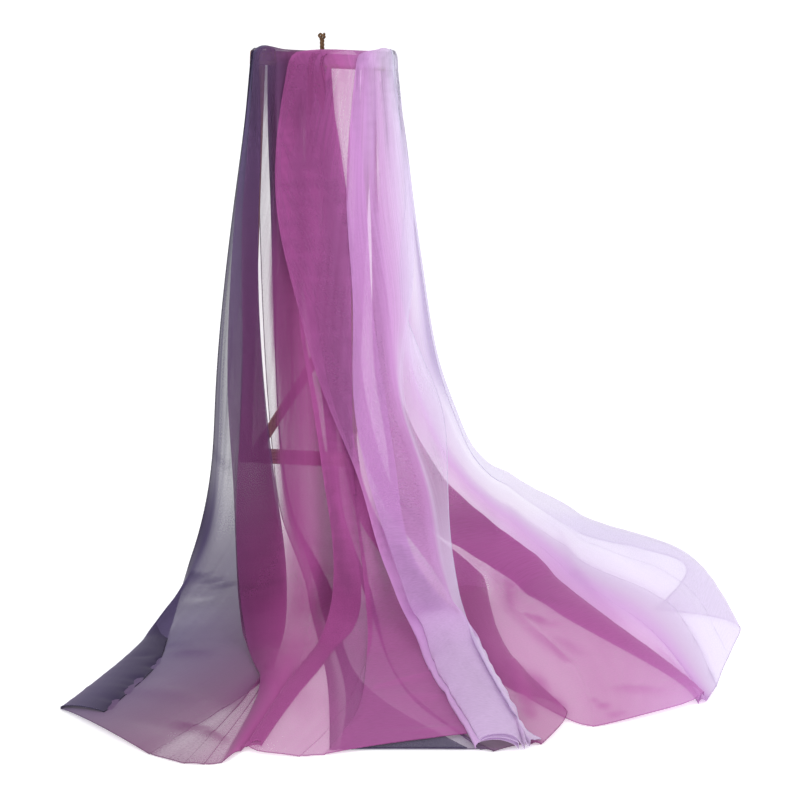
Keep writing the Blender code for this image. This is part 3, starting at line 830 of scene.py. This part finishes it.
def stamp(floor, block, here, near):
    """Raises the height map to the cloth that now lies there."""
    lies = near[:, :-1] > FLAT_ENOUGH
    for shift in np.linspace(0.0, 1.0, 4):
        between = block[:, :-1] * (1 - shift) + block[:, 1:] * shift
        level = here[:, :-1] * (1 - shift) + here[:, 1:] * shift
        np.maximum.at(floor, cells(floor, between[lies]), level[lies])


def layers_together(points, yarn):
    """How much yarn lies together at each vertex, from the front of the hanging bundle to its back,
    or from the top to the bottom where the cloth lies."""
    hangs = ease(*COUNT_HEIGHTS, points[:, :, 2] - SURFACE_Z)
    together = np.zeros(hangs.shape)
    thirds = (1 / 6, 1 / 2, 5 / 6)
    for axis, share, counted in ((2, hangs, 1.0), (1, 1 - hangs, LYING_LAYERS)):
        place = points[:, :, (0, axis)]
        corner = place[:-1, :-1]
        down, across = place[1:, :-1] - corner, place[:-1, 1:] - corner
        area = np.abs(down[..., 0] * across[..., 1] - down[..., 1] * across[..., 0])
        weight = area * (yarn * share)[:-1, :-1] / (len(thirds) * LAYER_CELL) ** 2
        layers = empty_map(LAYER_CELL)
        for u in thirds:
            for v in thirds:
                np.add.at(layers, cells(layers, corner + down * u + across * v), weight)
        together += share * counted * soften(layers, 1)[cells(layers, place)]
    return together


def drape_points(sizes):
    """The whole scarf from the front hem to the back hem: points in millimetres, dye, density."""
    stack = sizes.stack / MM
    front, front_dye, front_dense = half_points(FRONT_FOLDS, -1, stack)
    back, back_dye, back_dense = half_points(BACK_FOLDS, 1, stack)
    floor = empty_map(SETTLE_CELL)
    last = len(FRONT_FOLDS) - 1
    # The lavender side of the back lies lowest.  On the front it lies highest, but for the flap.
    settle(back, BACK_FOLDS, floor, reversed(range(last)))
    settle(front, FRONT_FOLDS, floor, (*range(1, last), 0))
    press_creases(front, front_dense, -1, FRONT_LYING_CREASES, FRONT_HANGING_CREASES)
    press_creases(back, back_dense, 1, BACK_LYING_CREASES, BACK_HANGING_CREASES)
    turn = turn_points(front, back, stack)
    points = np.concatenate((front[::-1], turn, back))
    blend = np.linspace(0, 1, TURN_ROWS + 1)[1:-1, None]
    turn_dye = front_dye[0] * (1 - blend) + back_dye[0] * blend
    dye = np.concatenate((front_dye[::-1], turn_dye, back_dye))
    dense = np.concatenate((front_dense[::-1], np.ones(turn_dye.shape), back_dense))
    return points, dye, dense


def gathering(points, dye, width):
    """How many times the cloth is drawn together sideways at each vertex."""
    cut = np.abs(np.diff(dye[:, ::COLUMNS_PER_FOLD], axis=1)) * width / MM
    seen = np.linalg.norm(np.diff(points, axis=1), axis=2)
    seen = seen.reshape(*cut.shape, COLUMNS_PER_FOLD).sum(axis=2)
    gather = np.clip(cut / np.maximum(seen, 1.0), *GATHER_LIMITS)
    columns = fold_columns(FRONT_FOLDS)
    return np.array([fold_by_fold(columns, row, edge=0.2) for row in gather])


class SCARF_OT_drape_cloth(Operator):
    """Builds the sheer cloth as one sheet, from the front hem over the bar to the back hem"""
    bl_idname = "scarf.drape_cloth"
    bl_label = "Drape cloth"

    def execute(self, context):
        sizes = context.scene.scarf_sizes
        points, dye, dense = drape_points(sizes)
        mesh = grid_mesh("scarf_cloth", points * MM)
        set_values(mesh, "dye", dye)
        yarn = gathering(points, dye, sizes.width) * dense
        set_values(mesh, "gather", yarn)
        # Painted shade: this value darkens the dye where many layers lie together.
        set_values(mesh, "painted_layer_shade", ease(*PAINTED_SHADE_LAYERS, layers_together(points, yarn)))
        height = points[:, :, 2] - SURFACE_Z
        set_values(mesh, "streaks", 0.2 + 0.8 * ease(*STREAK_HEIGHTS, height))
        rows = np.linalg.norm(np.diff(points, axis=0), axis=2).mean(axis=1)
        along = np.concatenate(([0.0], np.cumsum(rows))) / rows.sum() * sizes.length
        cut = np.stack((dye * sizes.width, np.broadcast_to(along[:, None], dye.shape)), axis=-1)
        loops = np.empty(len(mesh.loops), dtype=np.int32)
        mesh.loops.foreach_get("vertex_index", loops)
        mesh.uv_layers.new(name="cut").data.foreach_set("uv", cut.reshape(-1, 2)[loops].ravel())
        cloth = add_piece("scarf_cloth", mesh, georgette("dyed_georgette", context.scene.scarf_dyes))
        stretches = [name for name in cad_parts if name.startswith("scarf_")]
        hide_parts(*stretches)
        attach(cloth, "root")
        return {"FINISHED"}


# ---- rolled hem

STITCH_REACH = 1.12  # radius of a stitch round the hem, in radii of the hem
THREAD_RADIUS = 0.16  # radius of its thread, in radii of the hem
STITCH_SLANT = radians(35.0)


def ring_of(tree, corners, radius):
    return add_node(
        tree, "GeometryNodeCurvePrimitiveCircle", {"mode": "RADIUS"}, Resolution=corners, Radius=radius,
    )


def hem_tree(stitch_finish, hem_finish):
    """Geometry nodes: a rolled hem along a path, with a slanted whip stitch at each step."""
    tree = bpy.data.node_groups.new("rolled_hem", "GeometryNodeTree")
    face = tree.interface
    face.new_socket("Path", in_out="INPUT", socket_type="NodeSocketGeometry")
    for name in ("Hem radius", "Stitch spacing", "Stitch slant"):
        face.new_socket(name, in_out="INPUT", socket_type="NodeSocketFloat")
    face.new_socket("Hem", in_out="OUTPUT", socket_type="NodeSocketGeometry")
    given = add_node(tree, "NodeGroupInput").outputs
    radius = given["Hem radius"]
    path = add_node(tree, "GeometryNodeMeshToCurve", Mesh=given["Path"])
    roll = add_node(tree, "GeometryNodeCurveToMesh", Curve=path, Profile_Curve=ring_of(tree, 6, radius))
    steps = add_node(
        tree, "GeometryNodeCurveToPoints", {"mode": "LENGTH"}, Curve=path, Length=given["Stitch spacing"],
    )
    stitch = add_node(
        tree, "GeometryNodeCurveToMesh",
        Curve=ring_of(tree, 8, calculate(tree, "MULTIPLY", radius, STITCH_REACH)),
        Profile_Curve=ring_of(tree, 3, calculate(tree, "MULTIPLY", radius, THREAD_RADIUS)),
    )
    slant = add_node(tree, "ShaderNodeCombineXYZ", X=given["Stitch slant"])
    turned = add_node(
        tree, "FunctionNodeRotateRotation", {"rotation_space": "LOCAL"},
        Rotation=steps.outputs["Rotation"],
        Rotate_By=add_node(tree, "FunctionNodeEulerToRotation", Euler=slant),
    )
    stitches = add_node(
        tree, "GeometryNodeInstanceOnPoints", Points=steps, Instance=stitch, Rotation=turned,
    )
    stitches = add_node(tree, "GeometryNodeRealizeInstances", Geometry=stitches)
    joined = add_node(tree, "GeometryNodeJoinGeometry")
    for part, finish in ((roll, hem_finish), (stitches, stitch_finish)):
        covered = add_node(tree, "GeometryNodeSetMaterial", Geometry=part, Material=finish)
        set_inputs(tree, joined, Geometry=covered)
    add_node(tree, "NodeGroupOutput", Hem=joined)
    return tree


def apply_tree(piece, tree, values):
    """Sets the tree's named inputs, then turns the result into a plain mesh."""
    modifier = piece.modifiers.new(tree.name, "NODES")
    modifier.node_group = tree
    for item in tree.interface.items_tree:
        if item.name in values:
            modifier[item.identifier] = values[item.name]
    shown = piece.evaluated_get(bpy.context.evaluated_depsgraph_get())
    mesh = bpy.data.meshes.new_from_object(shown)
    piece.modifiers.remove(modifier)
    piece.data = mesh


class SCARF_OT_roll_hems(Operator):
    """Rolls the hem on all four sides of the cloth and whips it with small stitches"""
    bl_idname = "scarf.roll_hems"
    bl_label = "Roll hems"

    def execute(self, context):
        sizes = context.scene.scarf_sizes
        points, dye, _ = drape_points(sizes)
        ring = border(points)
        ring[:, 2] = np.maximum(ring[:, 2], SURFACE_Z + sizes.hem_radius / MM)
        mesh = bpy.data.meshes.new("scarf_rolled_hem")
        edges = [(i, (i + 1) % len(ring)) for i in range(len(ring))]
        mesh.from_pydata((ring * MM).tolist(), edges, [])
        set_values(mesh, "dye", border(dye))
        dyes = context.scene.scarf_dyes
        hem_finish = georgette("rolled_georgette", dyes, is_hem=True)
        stitch_finish = georgette("polyester_thread", dyes, is_hem=True)
        hem = add_piece("scarf_rolled_hem", mesh, hem_finish)
        apply_tree(hem, hem_tree(stitch_finish, hem_finish), {
            "Hem radius": sizes.hem_radius,
            "Stitch spacing": sizes.stitch_spacing,
            "Stitch slant": STITCH_SLANT,
        })
        hem.data.shade_smooth()
        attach(hem, "root")
        return {"FINISHED"}


# ---- the twine

TWINE_TOP = -1.5  # the knot's top, just under the origin
TWINE_FOOT = -42.5  # the stopper knot's underside
KNOTS = (-3.6, -39.5)  # middles of the end knot and of the stopper knot under the bar
KNOT_SWELL = 1.9  # how much further out the strands run round a knot
KNOT_REACH = 2.2  # about half a knot's height
STRAND_SPREAD = 1.05  # from the twine's middle to a strand's, in radii of the strand
STRAND_STEP = 0.4  # between two places on a strand
ASIDE = (0.31, 0.95, 0.05)  # a direction that no strand runs in


def strand_path(start, looks):
    """One strand, in millimetres: wound round the twine's middle line, wider at the two knots."""
    pitch = looks.twist_length / MM
    radius = looks.strand_radius / MM
    rows = []
    for z in np.arange(TWINE_TOP, TWINE_FOOT, -STRAND_STEP):
        angle = start + 2 * pi * (TWINE_TOP - z) / pitch
        bulge = sum(KNOT_SWELL * np.exp(-(((z - knot) / KNOT_REACH) ** 2)) for knot in KNOTS)
        reach = radius * STRAND_SPREAD + bulge
        lean = FRAME_TILT * max(0.0, PIVOT_Z - z)
        rows.append((reach * cos(angle) - lean, reach * sin(angle), z))
    return np.array(rows)


def tube_mesh(path, radius, sides=8):
    """Vertices and faces of a closed tube round a path, in the path's own unit."""
    tangent = np.gradient(path, axis=0)
    tangent /= np.linalg.norm(tangent, axis=1)[:, None]
    across = np.cross(tangent, ASIDE)
    across /= np.linalg.norm(across, axis=1)[:, None]
    third = np.cross(tangent, across)
    angle = 2 * pi * np.arange(sides) / sides
    turn = np.stack((np.cos(angle), np.sin(angle)), axis=-1)
    ring = across[:, None] * turn[:, :1] + third[:, None] * turn[:, 1:]
    points = (path[:, None] + ring * radius).reshape(-1, 3)
    last = (len(path) - 1) * sides
    faces = []
    for start in range(0, last, sides):
        for k in range(sides):
            after = (k + 1) % sides
            faces.append((start + k, start + after, start + sides + after, start + sides + k))
    faces.append(tuple(range(sides - 1, -1, -1)))
    faces.append(tuple(last + k for k in range(sides)))
    return points, faces


class SCARF_OT_twist_twine(Operator):
    """Twists three jute strands into the twine that the frame hangs from"""
    bl_idname = "scarf.twist_twine"
    bl_label = "Twist twine"

    def execute(self, context):
        looks = context.scene.frame_looks
        points, faces = [], []
        for k in range(looks.strands):
            path = strand_path(2 * pi * k / looks.strands, looks)
            tube, sides = tube_mesh(path, looks.strand_radius / MM)
            start = sum(len(p) for p in points)
            points.append(tube)
            faces += [tuple(start + i for i in face) for face in sides]
        mesh = bpy.data.meshes.new("twisted_twine")
        mesh.from_pydata((np.concatenate(points) * MM).tolist(), [], faces)
        mesh.shade_smooth()
        twine = add_piece("twisted_twine", mesh, twisted_jute("jute_twine_strands"))
        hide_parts("hanging_twine")
        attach(twine, "root")
        return {"FINISHED"}


class SCARF_OT_finish_wood(Operator):
    """Gives each slat of the frame its wood, with the grain along it"""
    bl_idname = "scarf.finish_wood"
    bl_label = "Finish wood"

    def execute(self, context):
        lengthwise = sanded_softwood("sanded_softwood_upright", 2)
        crosswise = sanded_softwood("sanded_softwood_level", 0)
        for name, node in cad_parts.items():
            if name.startswith("frame_"):
                upright = name.endswith(("upright", "brace"))
                node.data.materials.clear()
                node.data.materials.append(lengthwise if upright else crosswise)
        return {"FINISHED"}


# ---- the stage

FLOOR_REACH = 30.0  # metres
Light = namedtuple("Light", "name place size power")  # metres and watts
LIGHTS = (
    Light("window_light", (-1.6, -1.4, 1.6), 1.8, 22.0),
    Light("fill_light", (1.8, -1.2, 0.8), 1.6, 9.0),
)
LIGHT_AIM = (0.05, -0.1, -0.3)


class SCARF_OT_set_stage(Operator):
    """Sets the white floor, the soft lights and the camera"""
    bl_idname = "scarf.set_stage"
    bl_label = "Set stage"

    def execute(self, context):
        scene = context.scene
        looks = scene.stage_looks
        ends = (-FLOOR_REACH, FLOOR_REACH)
        corners = np.array([[(x, y, SURFACE_Z * MM) for x in ends] for y in ends])
        floor = add_piece("floor", grid_mesh("floor", corners), white_paper("seamless_paper"))
        world = bpy.data.worlds.new("even_white")
        world.use_nodes = True
        sky = world.node_tree.nodes["Background"]
        set_inputs(world.node_tree, sky, Color=colour("FFFFFF"), Strength=looks.sky_strength)
        scene.world = world
        for light in LIGHTS:
            add_light(light)
        lens = bpy.data.cameras.new("photo_camera")
        lens.lens = looks.camera_lens
        lens.sensor_width = 36.0
        camera = add_object("photo_camera", lens)
        camera.location = looks.camera_place
        camera.rotation_euler = (pi / 2 - looks.camera_pitch, 0.0, 0.0)
        scene.camera = camera
        scene.view_settings.view_transform = "Standard"
        return {"FINISHED"}


def add_light(light):
    """Adds a square light turned to LIGHT_AIM."""
    data = bpy.data.lights.new(light.name, "AREA")
    data.shape = "SQUARE"
    data.size = light.size
    data.energy = light.power
    lamp = add_object(light.name, data)
    lamp.location = light.place
    aim = np.array(LIGHT_AIM) - np.array(light.place)
    lamp.rotation_euler = (
        np.arccos(-aim[2] / np.linalg.norm(aim)), 0.0, np.arctan2(aim[1], aim[0]) - pi / 2,
    )


# Where the scene keeps each group of values, and the steps that read it.
GROUPS = {
    "scarf_sizes": (ScarfSizes, (SCARF_OT_drape_cloth, SCARF_OT_roll_hems)),
    "scarf_dyes": (ScarfDyes, ()),
    "frame_looks": (FrameLooks, (SCARF_OT_twist_twine, SCARF_OT_finish_wood)),
    "stage_looks": (StageLooks, (SCARF_OT_set_stage,)),
}


class SCARF_PT_panel(Panel):
    """Lists the pieces and their sizes"""
    bl_idname = "SCARF_PT_panel"
    bl_label = "Georgette scarf"
    bl_space_type = "VIEW_3D"
    bl_region_type = "UI"
    bl_category = "Scarf"

    def draw(self, context):
        for place, (group, steps) in GROUPS.items():
            box = self.layout.box()
            box.label(text=group.__doc__)
            for name in group.__annotations__:
                box.prop(getattr(context.scene, place), name)
            for step in steps:
                box.operator(step.bl_idname)


CLASSES = [group for group, _ in GROUPS.values()]
CLASSES += [step for _, steps in GROUPS.values() for step in steps]
CLASSES.append(SCARF_PT_panel)


def register():
    for cls in CLASSES:
        bpy.utils.register_class(cls)
    for name, (group, _) in GROUPS.items():
        setattr(bpy.types.Scene, name, PointerProperty(type=group))


def unregister():
    for name in GROUPS:
        delattr(bpy.types.Scene, name)
    for cls in reversed(CLASSES):
        bpy.utils.unregister_class(cls)


def main():
    register()
    bpy.ops.scarf.set_stage()
    bpy.ops.scarf.finish_wood()
    bpy.ops.scarf.twist_twine()
    bpy.ops.scarf.drape_cloth()
    bpy.ops.scarf.roll_hems()


if __name__ == "__main__":
    main()
